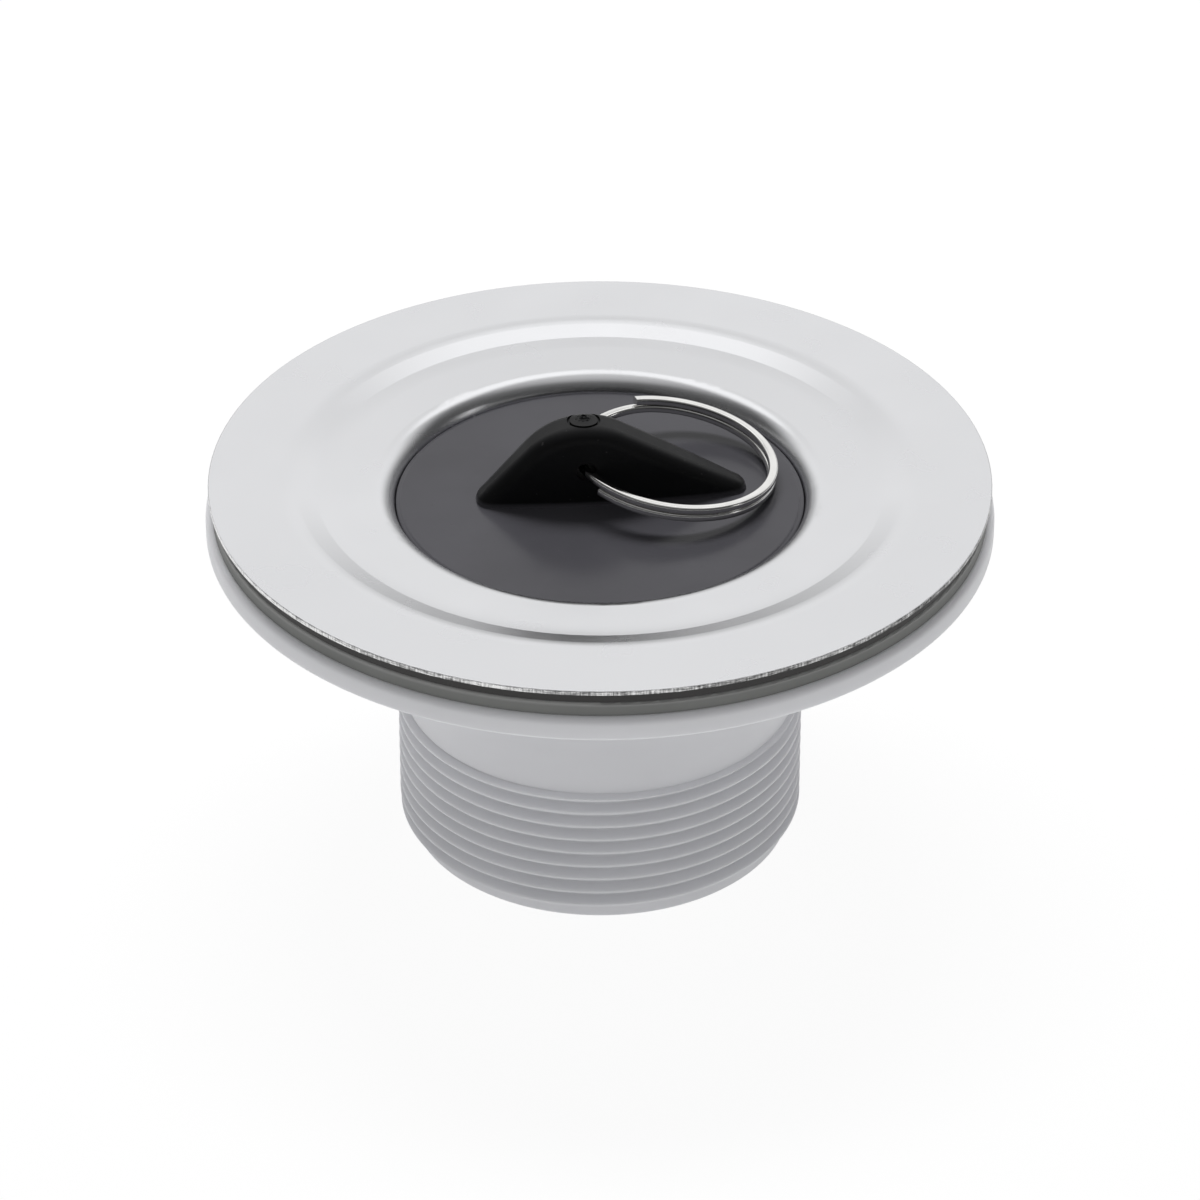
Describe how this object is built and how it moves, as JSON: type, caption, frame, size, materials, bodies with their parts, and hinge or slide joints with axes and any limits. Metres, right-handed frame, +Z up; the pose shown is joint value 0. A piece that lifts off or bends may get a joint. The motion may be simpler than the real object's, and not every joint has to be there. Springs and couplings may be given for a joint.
{
  "type": "drain stopper",
  "caption": "Sink bottom valve with a pressed steel flange, a threaded plastic tail, and a black rubber stopper whose moulded handle carries a split ring.",
  "frame": {"origin": "on the valve's axis, at the end of the threaded tail", "axes": "+Z up along the axis, towards the rubber stopper; -Y towards the viewer in the picture; +X to the viewer's right"},
  "size_m": [0.114, 0.114, 0.067],
  "materials": {
    "body_plastic": "moulded, smooth, pale grey",
    "insert_brass": "turned",
    "grey_seal": "matt, grey",
    "dark_seal": "matt, dark",
    "flange_steel": "satin with bright edges",
    "screw_steel": "plain",
    "plug_rubber": "moulded, matt, black",
    "ring_wire": "bright"
  },
  "bodies": {
    "body": {"waste_body": "body_plastic", "nut_insert": "insert_brass", "lower_seal": "grey_seal"},
    "dish": {"sink_flange": "flange_steel", "upper_seal": "dark_seal"},
    "screw": {"clamp_screw": "screw_steel"},
    "plug": {"plug": "plug_rubber"},
    "ring": {"split_ring": "ring_wire"}
  },
  "joints": [
    {"name": "flange_clamp", "type": "slide", "parent": "body", "child": "dish", "axis": [0, 0, 1], "range_m": [0, 0.005]},
    {"name": "clamp_screw_turn", "type": "hinge", "parent": "dish", "child": "screw", "pos_m": [0, 0, 0.0409], "axis": [0, 0, 1], "range_deg": [0, 1801]},
    {"name": "plug_lift", "type": "slide", "parent": "dish", "child": "plug", "axis": [0, 0, 1], "range_m": [0, 0.016]},
    {"name": "ring_swing", "type": "hinge", "parent": "plug", "child": "ring", "pos_m": [-0.00285, 0.00044, 0.06035], "axis": [0.2836, -0.9587, -0.0193], "range_deg": [0, 191]}
  ],
  "couplings": [
    {"joint": "clamp_screw_turn", "follows": "flange_clamp", "rad_per_m": 6283.2}
  ]
}
